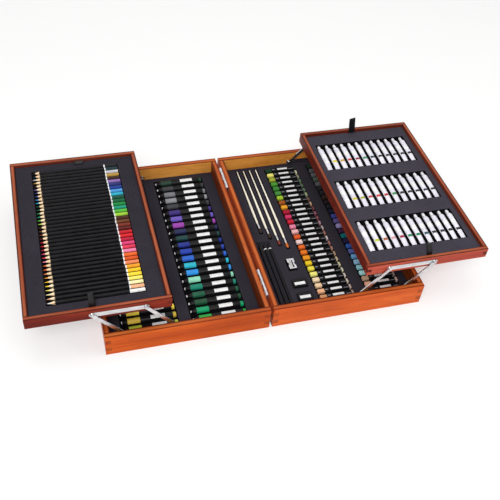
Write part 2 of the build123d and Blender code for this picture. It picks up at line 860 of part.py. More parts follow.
def tube_cap(start):
    with BuildPart() as cap:
        with BuildSketch(cap_plane(start)):
            Polygon(*ring(tube_sides, tube_cap_radius), align=None)
        extrude(amount=tube_cap_length, taper=tube_cap_slope)
    return cap.part


def paint_tubes():
    cap_start = tube_length / 2 - tube_cap_length
    height = tray_open_bottom + tray_bottom + tube_insert_height - tube_sunk + tube_radius
    places = [(x, y, height) for x, y in tube_places()]
    repeat("paint_tubes", tube_body(-tube_length / 2, cap_start - tube_shoulder), places)
    repeat("paint_tube_caps", tube_cap(cap_start), places)


def pull_tabs(side, sign):
    """Two folded ribbons, held between the insert and the tray's end walls."""
    floor = tray_open_bottom + tray_bottom
    surface = tray_top - tray_bevel
    with BuildPart() as tabs:
        for x, way in tab_places(sign):
            wall = tray_length / 2 - tray_wall - insert_play
            with BuildSketch(Plane.YZ.offset(x - tab_width / 2)):
                with BuildLine():
                    Polyline((way * wall, floor), (way * wall, surface),
                             (way * (wall - tab_lean), surface + tab_height),
                             (way * (wall - tab_lean - tab_thickness), surface + tab_height),
                             (way * (wall - tab_thickness), surface),
                             (way * (wall - tab_thickness), floor), close=True)
                make_face()
            extrude(amount=tab_width)
    save(tabs, f"{side}_pull_tabs")


for side, sign in SIDES.items():
    case_frame(side, sign)
    panel(f"{side}_case_bottom", sign * case_middle, case_width - 2 * case_wall,
          case_length - 2 * case_wall, 0, case_bottom)
    tray_frame(side, sign)
    panel(f"{side}_tray_bottom", sign * tray_middle, tray_width - 2 * tray_wall,
          tray_length - 2 * tray_wall, tray_open_bottom, tray_bottom)
    case_bars(side, sign)
    case_rivets(side, sign)
    tray_bars(side, sign)
    tray_rivets(side, sign)
    link_pair(f"{side}_inner_links", sign, 0)
    link_pair(f"{side}_outer_links", sign, 1)
    hinge_leaves(side, sign)
    pull_tabs(side, sign)

left_case_insert()
right_case_insert()
left_tray_insert()
right_tray_insert()
hinge_pins()
handle_mounts()
carry_handle()
hasp_plates()
for end, way in ENDS.items():
    hasp(end, way)
hasp_strikes()
crayons()
pastels()
colour_pencils()
graphite_pencils()
brushes()
sharpener()
erasers()
paint_tubes()
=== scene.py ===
import bpy
import bmesh
import math
import random
from mathutils import Matrix, Vector


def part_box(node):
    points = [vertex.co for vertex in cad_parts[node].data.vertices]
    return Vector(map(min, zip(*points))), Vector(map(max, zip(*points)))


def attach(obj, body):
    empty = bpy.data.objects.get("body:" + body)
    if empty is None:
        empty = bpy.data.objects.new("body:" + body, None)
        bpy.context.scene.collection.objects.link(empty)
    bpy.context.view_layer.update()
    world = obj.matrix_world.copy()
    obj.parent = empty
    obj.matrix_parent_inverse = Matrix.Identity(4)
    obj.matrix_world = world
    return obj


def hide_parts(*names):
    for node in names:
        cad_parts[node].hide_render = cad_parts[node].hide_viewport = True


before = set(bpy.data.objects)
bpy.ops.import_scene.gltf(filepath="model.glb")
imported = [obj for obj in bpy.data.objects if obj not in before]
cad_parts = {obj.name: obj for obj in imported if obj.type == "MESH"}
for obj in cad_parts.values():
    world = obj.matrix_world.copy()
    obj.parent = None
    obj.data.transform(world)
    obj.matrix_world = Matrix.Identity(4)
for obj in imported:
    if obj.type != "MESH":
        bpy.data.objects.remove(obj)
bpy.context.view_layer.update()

random.seed(7)

MM = 0.001
X = Vector((1, 0, 0))
Y = Vector((0, 1, 0))
Z = Vector((0, 0, 1))
SQUARE = ((-1, -1), (1, -1), (1, 1), (-1, 1))
SIDES = ("left", "right")
ENDS = ("front", "back")


# Camera: the photograph's view, fitted to the corners of the cases and trays

CAMERA_PLACE = (-0.3617, -1.0615, 1.1387)
CAMERA_YAW = 19.94
CAMERA_PITCH = 45.83
CAMERA_ROLL = 6.42
CAMERA_LENS = 54.0
CAMERA_REACH = 20


def make_camera():
    """Put the camera in its place, turned by its three angles in degrees."""
    yaw, pitch, roll = (math.radians(angle) for angle in (CAMERA_YAW, CAMERA_PITCH, CAMERA_ROLL))
    ahead = Vector((math.sin(yaw) * math.cos(pitch), math.cos(yaw) * math.cos(pitch), -math.sin(pitch)))
    level_right = ahead.cross(Z).normalized()
    level_up = level_right.cross(ahead)
    right = math.cos(roll) * level_right + math.sin(roll) * level_up
    up = math.cos(roll) * level_up - math.sin(roll) * level_right
    turned = Matrix((right, up, -ahead)).transposed().to_4x4()
    camera = bpy.data.objects.new("camera", bpy.data.cameras.new("camera"))
    bpy.context.scene.collection.objects.link(camera)
    camera.matrix_world = Matrix.Translation(CAMERA_PLACE) @ turned
    camera.data.lens = CAMERA_LENS
    camera.data.clip_end = CAMERA_REACH
    bpy.context.scene.camera = camera


# Node trees

PLAIN = (1, 1, 1, 1)
SHADE_PLACES = (0.3, 0.7)       # where the dark and the light shade of a noise begin


def srgb(text):
    """A colour written as six hex digits, in linear light."""
    parts = [int(text[i:i + 2], 16) / 255 for i in (0, 2, 4)]
    return tuple(p / 12.92 if p <= 0.04045 else ((p + 0.055) / 1.055) ** 2.4 for p in parts) + (1,)


class Tree:
    """A node tree under construction, with the kinds of node that the looks are made of."""

    def __init__(self, tree):
        self.nodes = tree.nodes
        self.links = tree.links

    def feed(self, socket, value):
        """Give a socket a value, or link it to another node's output."""
        if isinstance(value, bpy.types.NodeSocket):
            self.links.new(value, socket)
        else:
            socket.default_value = value

    def node(self, kind, **inputs):
        """A new node with some of its inputs fed."""
        made = self.nodes.new(kind)
        for name, value in inputs.items():
            self.feed(made.inputs[name], value)
        return made

    def calc(self, operation, *values):
        made = self.nodes.new("ShaderNodeMath")
        made.operation = operation
        for socket, value in zip(made.inputs, values):
            self.feed(socket, value)
        return made.outputs[0]

    def ramp(self, source, places, colours):
        """A colour that follows a value; each colour is hex digits or four numbers."""
        made = self.nodes.new("ShaderNodeValToRGB")
        elements = made.color_ramp.elements
        while len(elements) < len(places):
            elements.new(0.5)
        for element, place, colour in zip(elements, places, colours):
            element.position = place
            element.color = srgb(colour) if isinstance(colour, str) else colour
        self.feed(made.inputs[0], source)
        return made.outputs["Color"]

    def mix(self, factor, first, second, blend="MIX"):
        made = self.nodes.new("ShaderNodeMix")
        made.data_type = "RGBA"
        made.blend_type = blend
        for name, value in (("Factor", factor), ("A", first), ("B", second)):
            self.feed(made.inputs[name], value)
        return made.outputs["Result"]

    def mix_shader(self, factor, first, second):
        made = self.nodes.new("ShaderNodeMixShader")
        for socket, value in zip(made.inputs, (factor, first, second)):
            self.feed(socket, value)
        return made.outputs[0]

    def noise(self, vector, scale, detail=4.0, roughness=0.55, distortion=0.0):
        made = self.node("ShaderNodeTexNoise", Vector=vector, Scale=scale, Detail=detail,
                         Roughness=roughness, Distortion=distortion)
        return made.outputs["Fac"]

    def where(self, stretch=(1, 1, 1)):
        """Where a point is and which way it faces, and its place stretched for a grain."""
        found = self.nodes.new("ShaderNodeTexCoord").outputs
        mapping = self.node("ShaderNodeMapping", Vector=found["Object"], Scale=stretch)
        return found, mapping.outputs[0]

    def parts(self, vector):
        """A vector's three parts, by the letter of their axis."""
        return self.node("ShaderNodeSeparateXYZ", Vector=vector).outputs

    def bump(self, shader, height, strength, distance):
        made = self.node("ShaderNodeBump", Height=height, Strength=strength, Distance=distance)
        self.feed(shader.inputs["Normal"], made.outputs[0])

    def seen_directly(self):
        """One where the camera, a gloss or a see-through ray looks straight at the surface."""
        path = self.nodes.new("ShaderNodeLightPath").outputs
        shown = self.calc("MAXIMUM", path["Is Camera Ray"], path["Is Glossy Ray"])
        return self.calc("MAXIMUM", shown, path["Is Transmission Ray"])


def new_material(name, roughness, metallic=0.0, gloss=0.3):
    """A material with its tree and its shader."""
    material = bpy.data.materials.new(name)
    material.use_nodes = True
    tree = Tree(material.node_tree)
    shader = tree.nodes["Principled BSDF"]
    shader.inputs["Roughness"].default_value = roughness
    shader.inputs["Metallic"].default_value = metallic
    shader.inputs["Specular IOR Level"].default_value = gloss
    return material, tree, shader


# The studio: even light, a pale floor and three soft lamps

WORLD_LIGHT = 0.55
FLOOR_HALF = 6.0
FLOOR_COLOUR = (0.92, 0.915, 0.91, 1)
FLOOR_GLOW = 0.42
# Each lamp's name, place, size and watts
LAMPS = (
    ("key", (-0.9, -1.9, 2.2), 1.3, 52),
    ("fill", (1.8, -0.8, 1.8), 1.6, 12),
    ("top", (0.0, 0.6, 2.6), 1.8, 16))


def make_world():
    """Even light on the object, and white where the background itself is seen."""
    world = bpy.data.worlds.new("studio")
    bpy.context.scene.world = world
    world.use_nodes = True
    tree = Tree(world.node_tree)
    tree.nodes.clear()
    lit = tree.node("ShaderNodeBackground", Color=PLAIN, Strength=WORLD_LIGHT)
    seen = tree.node("ShaderNodeBackground", Color=PLAIN, Strength=1)
    background = tree.mix_shader(tree.seen_directly(), lit.outputs[0], seen.outputs[0])
    tree.node("ShaderNodeOutputWorld", Surface=background)


def make_floor():
    """A pale floor that keeps the object's shadow and is partly white where it is seen."""
    mesh = bpy.data.meshes.new("floor")
    mesh.from_pydata([(x * FLOOR_HALF, y * FLOOR_HALF, 0) for x, y in SQUARE], [], [(0, 1, 2, 3)])
    floor = bpy.data.objects.new("floor", mesh)
    bpy.context.scene.collection.objects.link(floor)
    material, tree, shader = new_material("pale_floor", 0.9, gloss=0.5)
    shader.inputs["Base Color"].default_value = FLOOR_COLOUR
    glow = tree.nodes.new("ShaderNodeEmission")
    share = tree.calc("MULTIPLY", tree.seen_directly(), FLOOR_GLOW)
    surface = tree.mix_shader(share, shader.outputs[0], glow.outputs[0])
    tree.feed(tree.nodes["Material Output"].inputs[0], surface)
    mesh.materials.append(material)


def make_lamp(name, place, size, watts):
    """A square area lamp that points at the middle of the box."""
    lamp = bpy.data.lights.new(name, "AREA")
    lamp.size = size
    lamp.energy = watts
    holder = bpy.data.objects.new(name, lamp)
    holder.location = place
    holder.rotation_euler = (-Vector(place)).to_track_quat("-Z", "Y").to_euler()
    bpy.context.scene.collection.objects.link(holder)


# Stained wood

WOOD_STRETCH = 0.07             # the grain's width against its length
WOOD_PLACES = (0.3, 0.72)       # where the dark and the light shade of the figure begin
END_GRAIN = "4A170C"
PORE_SHADES = ((0.62, 0.55, 0.5, 1), PLAIN)
CLOUD_SHADES = ((0.82, 0.8, 0.78, 1), (1.08, 1.06, 1.04, 1))
# How much of the end grain, the pores and the clouds shows
END_GRAIN_SHARE = 0.45
PORE_SHARE = 0.55
CLOUD_SHARE = 0.8
# Where the painted shade along a rim's two edges fades in and out, across the wall's thickness
RIM_PLACES = (0.06, 0.3, 0.62, 0.9)
SKIN = 0.2 * MM                 # how far past a wall's face its inside colour reaches

# Outsides are a dark, a middle and a light shade, and insides a dark and a light one.
# Rims are a dark and a light shade, and then the painted shade along the rim's inner and outer edge.
# The right case is lighter than the left: partly its stain, partly painted light, as the right side is lit
# more brightly
CASE_OUTSIDES_STAIN_AND_LIGHT = {"left": ("A43E0C", "C25214", "D86C24"), "right": ("B84C1A", "D05E24", "E67A38")}
CASE_RIMS = ("A0441C", "CA7036", "6A3A2C", "A8786A")
CASE_INSIDE_ENDS = ("D0842E", "F8B45E")
# Painted shade: the insides of the side walls are much darker than the insides of the front and back, as
# they face away from the light
CASE_INSIDE_SIDES_PAINTED_SHADE = ("622408", "8A4218")
# Painted light: the right tray's front and back are much lighter than the left tray's, as that side is lit
# more brightly
TRAY_ENDS_PAINTED_LIGHT = {"left": ("5A140A", "742010", "8E3218"), "right": ("923628", "B24C3A", "C6624E")}
TRAY_SIDES = ("4A100A", "6C1C0E", "8A3218")
TRAY_RIMS = ("823620", "B26242", "6A3A2C", "4A1C14")
TRAY_INSIDE = ("5A1A0C", "8A3A1C")


def inner_face(tree, depth, facing, span):
    """One on the faces that look along the depth's axis and lie between two depths."""
    deep_enough = tree.calc("MULTIPLY", tree.calc("GREATER_THAN", depth, span[0]),
                            tree.calc("LESS_THAN", depth, span[1]))
    upright = tree.calc("GREATER_THAN", tree.calc("ABSOLUTE", facing), 0.5)
    return tree.calc("MULTIPLY", deep_enough, upright)


def rim_colour(tree, figure, shades, depth, span, thickness):
    """The top of a wall, with painted shade darkening its two long edges."""
    dark, light, inner_edge_shade, outer_edge_shade = shades
    middle = tree.ramp(figure, WOOD_PLACES, (dark, light))
    past = tree.calc("MAXIMUM", tree.calc("SUBTRACT", span[0], depth), tree.calc("SUBTRACT", depth, span[1]))
    across = tree.calc("DIVIDE", past, thickness)
    # painted shade toward the rim's inner and outer edge
    edges = tree.ramp(across, RIM_PLACES, (inner_edge_shade, PLAIN, PLAIN, outer_edge_shade))
    return tree.mix(1.0, middle, edges, "MULTIPLY")


def wood(name, along, inner_axis, span, thickness, shades):
    """Wood with its grain along an axis, darker end grain, and shades for outsides, rims and insides.

    The span is how far from the middle, along the inner axis, the inside of the frame reaches.
    """
    outer_shades, rim_shades, inner_shades = shades
    material, tree, shader = new_material(name, 0.4, gloss=0.09)
    where, vector = tree.where([WOOD_STRETCH if axis == along else 1.0 for axis in "XYZ"])
    figure = tree.noise(vector, 38.0, detail=5.0, roughness=0.62, distortion=0.6)
    fine = tree.noise(vector, 420.0, detail=3.0, roughness=0.6)
    broad = tree.noise(where["Object"], 7.0, detail=2.0)
    depth = tree.calc("ABSOLUTE", tree.parts(where["Object"])[inner_axis])
    facing = tree.parts(where["Normal"])

    outside = tree.ramp(figure, (0.28, 0.5, 0.75), outer_shades)
    inside = tree.ramp(figure, WOOD_PLACES, inner_shades)
    colour = tree.mix(inner_face(tree, depth, facing[inner_axis], span), outside, inside)
    rim = rim_colour(tree, figure, rim_shades, depth, span, thickness)
    colour = tree.mix(tree.calc("GREATER_THAN", facing["Z"], 0.6), colour, rim)
    ends = tree.calc("GREATER_THAN", tree.calc("ABSOLUTE", facing[along]), 0.7)
    colour = tree.mix(tree.calc("MULTIPLY", ends, END_GRAIN_SHARE), colour, srgb(END_GRAIN))
    colour = tree.mix(PORE_SHARE, colour, tree.ramp(fine, (0.32, 0.5), PORE_SHADES), "MULTIPLY")
    colour = tree.mix(CLOUD_SHARE, colour, tree.ramp(broad, SHADE_PLACES, CLOUD_SHADES), "MULTIPLY")
    tree.feed(shader.inputs["Base Color"], colour)
    tree.bump(shader, fine, 0.18, 0.2 * MM)
    return material


# Flock

DARK_FLOCK = ("25232A", "39363E")
# Painted light: the right tray's flock is paler than the others because that tray is lit more brightly
PAINTED_LIGHT_FLOCK = ("333039", "4A4650")
# Painted shade: the flock is nearly black inside the hollows, where shade falls between the pieces
HOLLOW_SHADE_FLOCK = ("050506", "0E0D10")
WORN_SHADES = ((0.86, 0.86, 0.86, 1), (1.1, 1.1, 1.1, 1))
WORN_SHARE = 0.7


def in_hollow(tree, point, hollow):
    """One inside a hollow, which is a middle and a half size across X and Y."""
    middle_x, middle_y, half_x, half_y = hollow
    off_x = tree.calc("ABSOLUTE", tree.calc("SUBTRACT", point["X"], middle_x))
    off_y = tree.calc("ABSOLUTE", tree.calc("SUBTRACT", point["Y"], middle_y))
    return tree.calc("MULTIPLY", tree.calc("LESS_THAN", off_x, half_x),
                     tree.calc("LESS_THAN", off_y, half_y))


def flocking(name, hollows, shades):
    """Black flock, a little worn, with painted shade that makes it darker inside the hollows."""
    material, tree, shader = new_material(name, 0.95, gloss=0.03)
    where, vector = tree.where()
    fluff = tree.noise(vector, 900.0)
    patches = tree.noise(vector, 14.0, detail=2.0)
    point = tree.parts(where["Object"])
    hollow_shade = 0.0
    for hollow in hollows:
        hollow_shade = tree.calc("MAXIMUM", hollow_shade, in_hollow(tree, point, hollow))
    plain = tree.ramp(fluff, SHADE_PLACES, shades)
    # painted shade inside the hollows
    colour = tree.mix(hollow_shade, plain, tree.ramp(fluff, SHADE_PLACES, HOLLOW_SHADE_FLOCK))
    colour = tree.mix(WORN_SHARE, colour, tree.ramp(patches, SHADE_PLACES, WORN_SHADES), "MULTIPLY")
    tree.feed(shader.inputs["Base Color"], colour)
    tree.bump(shader, fluff, 0.5, 0.4 * MM)
    return material


# Paints, papers, plastics, metals and hair

UNEVEN_ROUGHNESS = 0.16         # between the smoothest and the roughest speckle
VARNISH_ROUGHNESS = 0.12
# The grain is the scale of the speckles, and the relief is the strength of their bump
LOOKS = {
    "bright_metal": dict(shades=("B9BABD", "E4E4E6"), roughness=0.24, grain=160, relief=0.08,
                         metallic=1.0, stretch=(0.2, 1, 1)),
    "brush_lacquer": dict(shades=("E6DCC0", "FAF4E4"), roughness=0.3, grain=40, relief=0.05,
                          varnish=0.3, stretch=(1, 0.1, 1)),
    "dark_plastic": dict(shades=("1E100C", "2E1A14"), roughness=0.42, grain=220, relief=0.15),
    "black_lacquer": dict(shades=("060507", "121014"), roughness=0.3, grain=60, relief=0.04, gloss=0.16),
    "black_satin": dict(shades=("070708", "141416"), roughness=0.42, grain=90, relief=0.06, gloss=0.14),
    "sharpened_wood": dict(shades=("E0B98A", "FBE6C4"), roughness=0.6, grain=300, relief=0.25,
                           gloss=0.2, stretch=(0.1, 1, 1)),
    "blade_steel": dict(shades=("9A9490", "D4D0CC"), roughness=0.3, grain=120, relief=0.08,
                        metallic=1.0, stretch=(1, 0.1, 1)),
    "coloured_paint": dict(shades=("E4E4E4", "FFFFFF"), roughness=0.36, grain=80, relief=0.05,
                           gloss=0.2, tinted=True),
    "coloured_stick": dict(shades=("DADADA", "FFFFFF"), roughness=0.7, grain=500, relief=0.3,
                           gloss=0.12, tinted=True),
    "black_paper": dict(shades=("08080A", "161618"), roughness=0.55, grain=240, relief=0.12, gloss=0.1),
    "label_paper": dict(shades=("CFCFCF", "E9E9E9"), roughness=0.6, grain=300, relief=0.08),
    # Used both for printed dashes and for a painted highlight line on the pastels' wraps
    "dash_print_and_highlight": dict(shades=("6E6E74", "8E8E96"), roughness=0.6, grain=300, relief=0.08),
    "white_paint": dict(shades=("DCDCDC", "F6F6F6"), roughness=0.4, grain=150, relief=0.05),
    "tube_plastic": dict(shades=("CFCCD8", "E6E4EC"), roughness=0.36, grain=30, relief=0.06, varnish=0.2),
    "tube_print": dict(shades=("E8E8E8", "FFFFFF"), roughness=0.4, grain=60, relief=0.04, tinted=True),
    "cap_plastic": dict(shades=("D2D1D8", "EAEAEE"), roughness=0.32, grain=80, relief=0.05),
    "ribbon": dict(shades=("050506", "121215"), roughness=0.42, grain=1400, relief=0.4,
                   gloss=0.35, stretch=(1, 0.15, 0.15)),
    "dark_hair": dict(shades=("20140E", "3A261A"), roughness=0.5, grain=900, relief=0.2),
    "warm_hair": dict(shades=("C0C0C0", "FFFFFF"), roughness=0.5, grain=900, relief=0.2, tinted=True)}


def speckled(name, shades, roughness, grain, relief, gloss=0.3, metallic=0.0, varnish=0.0,
             stretch=(1, 1, 1), tinted=False):
    """A look whose colour, roughness and relief wander a little between two shades.

    A tinted one takes each face's own colour from the mesh.
    """
    material, tree, shader = new_material(name, roughness, metallic, gloss)
    _, vector = tree.where(stretch)
    speckle = tree.noise(vector, grain)
    colour = tree.ramp(speckle, SHADE_PLACES, shades)
    if tinted:
        own = tree.nodes.new("ShaderNodeAttribute")
        own.attribute_name = "tint"
        colour = tree.mix(1.0, own.outputs["Color"], colour, "MULTIPLY")
    tree.feed(shader.inputs["Base Color"], colour)
    smoothest = roughness - UNEVEN_ROUGHNESS / 2
    tree.feed(shader.inputs["Roughness"], tree.calc("MULTIPLY_ADD", speckle, UNEVEN_ROUGHNESS, smoothest))
    if varnish:
        shader.inputs["Coat Weight"].default_value = varnish
        shader.inputs["Coat Roughness"].default_value = VARNISH_ROUGHNESS
    tree.bump(shader, speckle, relief, 0.4 * MM)
    return material


MATERIALS = {name: speckled(name, **look) for name, look in LOOKS.items()}


# Colours of the contents, given from the back row to the front one

PENCIL_COLOURS = """1b1b1d 16323a c9c9cf b9933f 3d2218 8d6bb0 27306f 1f3f8f 4f9bd9 2ea9c4 16503c 14603a
1f8a3f 1f9a7a 57b33e 9cc83a 4a2a1a 6b3d22 7c3020 5e1b18 c3202a d8242c b81f3c e0457b e23b5a f07fa8
ee6a2a d9551f f08a5a f5a32a f8c928 fbd83a f7e56a f6ecb0 f3b48a f4f2ee""".split()
INNER_CRAYONS = """1c3a2c 34363a 77787c 8d8e92 3a3b3f 3b2a78 6a55b8 a044b0 1d2450 123b3a 1f2f86 2440a8
2a62c8 2bb5c8 2f8fe0 8fd8b8 12826a 17553c 1a4a30 0f9a64 25a83f""".split()
OUTER_CRAYONS = """4a2c22 3a2a24 8a7a72 b5a9a0 d8d2cc c8322c d93a3e b8262c efe9e6 d8345a e0508a c33c9a
e8b8c8 e88a70 f0a080 f2b890 f3cfa0 f0dc8a f2d84a d0b040 c0cc40""".split()
INNER_PASTELS = """1c3d22 f0e878 a8b03a 4a9a34 3f8a3a 4a9040 a8cc34 a85a24 f2a82a b01f38 d83a6a d0243a
f08aa8 f4b8b8 e8602a f6d8d4 ea6a24 ef7a24 f29a24 f2cc28 f0e04a f4ec80 f6dcb4 f4d2a8 efb48a d89a6c""".split()
OUTER_PASTELS = """1f3324 5c5f62 6a6c70 5a6a5e 6d6f72 2e2f33 2a2b30 3a2a24 2b2024 24242a 20263c 4652a8
6e64a6 aaa2dc 4a2a4c 127a82 2c2650 3a66c0 6472be 74b4ea a0d4f6 a8ecf6 b8f6fa d8b494 fcc0a0 3a2a24""".split()
TUBE_MARKS = (
    "f4f4f6 d8c832 c89a3c c03a34 8a2428 2e8a5a 1d3f48 1c1c20 1c1c20 1c1c20 1c1c20 1c1c20".split(),
    "f4f4f6 d8c832 a8a83a b83a34 c8402c b0302c 2e8a4a 1c1c20 1c1c20 1c1c20 2c2446 1c1c20".split(),
    "f4f4f6 c8d040 a85a30 d8a0a8 a02040 1a7a50 127a4a 1a4a5a 1c1c20 1c1c20 1c1c20 1c1c20".split())
WHITE = (0.92, 0.92, 0.94, 1)


def coat(material_name, tint=WHITE):
    """What a face is painted with: a material, and the tint that a tinted one shows."""
    return MATERIALS[material_name], tint


def on_top(low, high, coated, elsewhere):
    """A coat for the faces of a ring between two angles in degrees, and one for the others."""
    def choose(k, sides):
        turn = math.degrees(math.tau * (k + 1) / sides)
        return coated if low < turn < high else elsewhere
    return choose


# Mesh building


class Form:
    """One piece under construction: a mesh, its tints and its materials."""

    def __init__(self, name):
        self.name = name
        self.mesh = bmesh.new()
        self.tint = self.mesh.loops.layers.float_color.new("tint")
        self.materials = []

    def face(self, corners, coated):
        """A face between points that are in the mesh."""
        material, tint = coated
        made = self.mesh.faces.new(corners)
        if material not in self.materials:
            self.materials.append(material)
        made.material_index = self.materials.index(material)
        for loop in made.loops:
            loop[self.tint] = tint

    def row(self, points):
        return [self.mesh.verts.new(point) for point in points]

    def band(self, one, two, coated):
        """Faces all round between two rings; the coat may be chosen for each face."""
        for k in range(len(one)):
            after = (k + 1) % len(one)
            chosen = coated(k, len(one)) if callable(coated) else coated
            self.face((one[k], one[after], two[after], two[k]), chosen)

    def skin(self, rings, coats):
        """A closed form through rings of points, with a coat for each span between them."""
        rows = [self.row(points) for points in rings]
        for one, two, coated in zip(rows, rows[1:], coats):
            self.band(one, two, coated)
        self.face(rows[0][::-1], coats[0])
        self.face(rows[-1], coats[-1])

    def slip(self, corners, foot, top, coated):
        """A thin slip on a surface: its upper face at one height and its edges down to another."""
        lower = self.row([corner + Z * foot for corner in corners])
        upper = self.row([corner + Z * top for corner in corners])
        self.face(upper, coated)
        self.band(lower, upper, coated)

    def place(self, body, slot, stands_for=(), sharp=30):
        """Make the object; edges that turn by more than the sharp angle stay crisp."""
        bmesh.ops.recalc_face_normals(self.mesh, faces=self.mesh.faces[:])
        mesh = bpy.data.meshes.new(self.name)
        self.mesh.to_mesh(mesh)
        self.mesh.free()
        for material in self.materials:
            mesh.materials.append(material)
        mesh.polygons.foreach_set("use_smooth", [True] * len(mesh.polygons))
        mesh.set_sharp_from_angle(angle=math.radians(sharp))
        piece = bpy.data.objects.new(self.name, mesh)
        bpy.context.scene.collection.objects.link(piece)
        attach(piece, body)
        if stands_for:
            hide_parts(*stands_for)
        return piece


def circle(centre, side, up, half_side, half_up, sides, swell=None, ahead=None):
    """Points of an oval; swell scales its radius and ahead shifts it, by the angle."""
    points = []
    for k in range(sides):
        turn = math.tau * (k + 0.5) / sides
        grow = swell(turn) if swell else 1
        point = centre + side * (half_side * grow * math.cos(turn)) + up * (half_up * grow * math.sin(turn))
        points.append(point + (ahead(turn) if ahead else Vector()))
    return points


def rectangle(low_x, low_y, high_x, high_y, z):
    return [Vector((x, y, z)) for x, y in
            ((low_x, low_y), (high_x, low_y), (high_x, high_y), (low_x, high_y))]


def spaced(first, last, count):
    """Even steps from the first place to the last."""
    return [first + (last - first) * n / (count - 1) for n in range(count)]


def shifted(along, length, shift):
    """A station's place in metres, moved a little unless it is at an end of its piece."""
    return along * MM + (shift if 0 < along < length else 0)


def waver(most):
    """A random shift of up to so many millimetres either way."""
    return random.uniform(-most, most) * MM


# The CAD's round sticks and tubes have ten sides, so they are narrower across than they are high
ACROSS = math.cos(math.pi / 10)


# Pencils, along their axis from the point

PENCIL_SIDES = 24
PENCIL_LEAD = 6.5 * MM
PENCIL_CONE = 15.5 * MM
PENCIL_CORNER = 0.975           # how far the worn corners reach, against sharp ones
PENCIL_BEVEL = 0.7 * MM
PENCIL_SCALLOP = 1.6 * PENCIL_CONE
PENCIL_UNEVENNESS = 0.35 * MM
PENCIL_RING = 27 * MM           # from the blunt end
PENCIL_RING_WIDTH = 2.2 * MM
PENCIL_DOT = 21.8 * MM
PENCIL_DOT_LENGTH = 2.4 * MM
# Rings of the lead and the cut wood: place along the pencil, and share of its half width
PENCIL_POINT = ((0, 0.075), (PENCIL_LEAD / 2, 0.225), (PENCIL_LEAD, 0.375), (PENCIL_LEAD, 0.405),
                (0.7 * PENCIL_CONE, 0.68))


def hexagon(turn):
    """How far a six-sided barrel with worn corners reaches at an angle, against sharp corners."""
    off = (turn % (math.pi / 3)) - math.pi / 6
    return min(math.cos(math.pi / 6) / math.cos(off), PENCIL_CORNER)


def pencil(form, tip, axis, side, half, length, mark, coats, wander=0):
    """One sharpened pencil; its coats are for the lead, cut wood, barrel, mark and blunt end."""
    lead, cut, barrel, marked, end = coats
    spin = random.uniform(0, math.tau)

    def ring(along, share, swell=None, ahead=None):
        centre = tip + axis * (along + (wander if 0 < along < length else 0))
        return circle(centre, side, Z, half * share, half * share, PENCIL_SIDES, swell, ahead)

    def scallop(turn):
        """Sharpening cuts the corners further back than the flats, and a little unevenly."""
        reach = (hexagon(turn) - PENCIL_CORNER) * PENCIL_SCALLOP
        return axis * (reach + PENCIL_UNEVENNESS * math.sin(5 * turn + spin))

    rings = [ring(along, share) for along, share in PENCIL_POINT]
    rings += [ring(along, 1, hexagon, scallop) for along in (PENCIL_CONE, PENCIL_CONE + 0.8 * MM)]
    rings += [ring(along, 1, hexagon) for along in (*mark, length - PENCIL_BEVEL)]
    rings.append(ring(length, 0.86, hexagon))
    form.skin(rings, [lead, lead, cut, cut, cut, barrel, barrel, marked, end, end])


def half_width(low, high):
    """Half a pencil's width over its corners, from the height over its flats."""
    return (high.z - low.z) / 2 / math.cos(math.pi / 6)


def colour_pencils():
    """Pencils along X with black barrels, a white ring and a coloured end."""
    low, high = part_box("colour_pencils")
    half = half_width(low, high)
    length = high.x - low.x
    mark = (length - PENCIL_RING, length - PENCIL_RING + PENCIL_RING_WIDTH)
    form = Form("colour_pencil_set")
    for y, colour in zip(spaced(high.y - half, low.y + half, len(PENCIL_COLOURS)), PENCIL_COLOURS):
        wander = waver(0.6)
        tip = Vector((low.x, y, (low.z + high.z) / 2))
        tint = coat("coloured_paint", srgb(colour))
        coats = (tint, coat("sharpened_wood"), coat("black_lacquer"), coat("white_paint"), tint)
        pencil(form, tip, X, Y, half, length, mark, coats, wander)
    form.place("left_tray", "pencil_wood", ["colour_pencils"], sharp=28)


def black_pencils():
    """Three pencils along Y, black to the point, and two of them with a white dot."""
    low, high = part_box("graphite_pencils")
    half = half_width(low, high)
    lead = coat("coloured_paint", srgb("2A2A2C"))
    black = coat("black_lacquer")
    mark = (PENCIL_DOT, PENCIL_DOT + PENCIL_DOT_LENGTH)
    form = Form("graphite_pencil_set")
    for x, marked in zip(spaced(high.x - half, low.x + half, 3),
                         (coat("white_paint"), coat("white_paint"), black)):
        tip = Vector((x, high.y, (low.z + high.z) / 2))
        coats = (lead, coat("black_satin"), black, marked, black)
        pencil(form, tip, -Y, X, half, high.y - low.y, mark, coats)
    form.place("right_base", "black_paint", ["graphite_pencils"], sharp=28)


# Crayons

CRAYON_SIDES = 20
CRAYON_LENGTH = 104.0
# Stations: millimetres from the tip, share of the radius, and what the next span is
CRAYON_STATIONS = (
    (0.0, 0.26, "dot"), (1.0, 0.40, "dot"), (1.6, 0.44, "plastic"), (9.5, 0.86, "plastic"),
    (11.5, 0.93, "plastic"), (11.8, 0.99, "colour"), (13.0, 1.0, "colour"), (34.5, 1.0, "colour"),
    (35.7, 0.985, "plastic"), (36.2, 0.95, "plastic"), (37.0, 0.985, "plastic"),
    (55.5, 0.985, "label"), (55.7, 0.995, "label"), (82.6, 0.995, "label"), (82.8, 0.985, "plastic"),
    (97.5, 0.985, "plastic"), (98.2, 0.95, "colour"), (98.7, 0.90, "colour"), (103.2, 0.90, "colour"),
    (CRAYON_LENGTH, 0.80, "colour"))


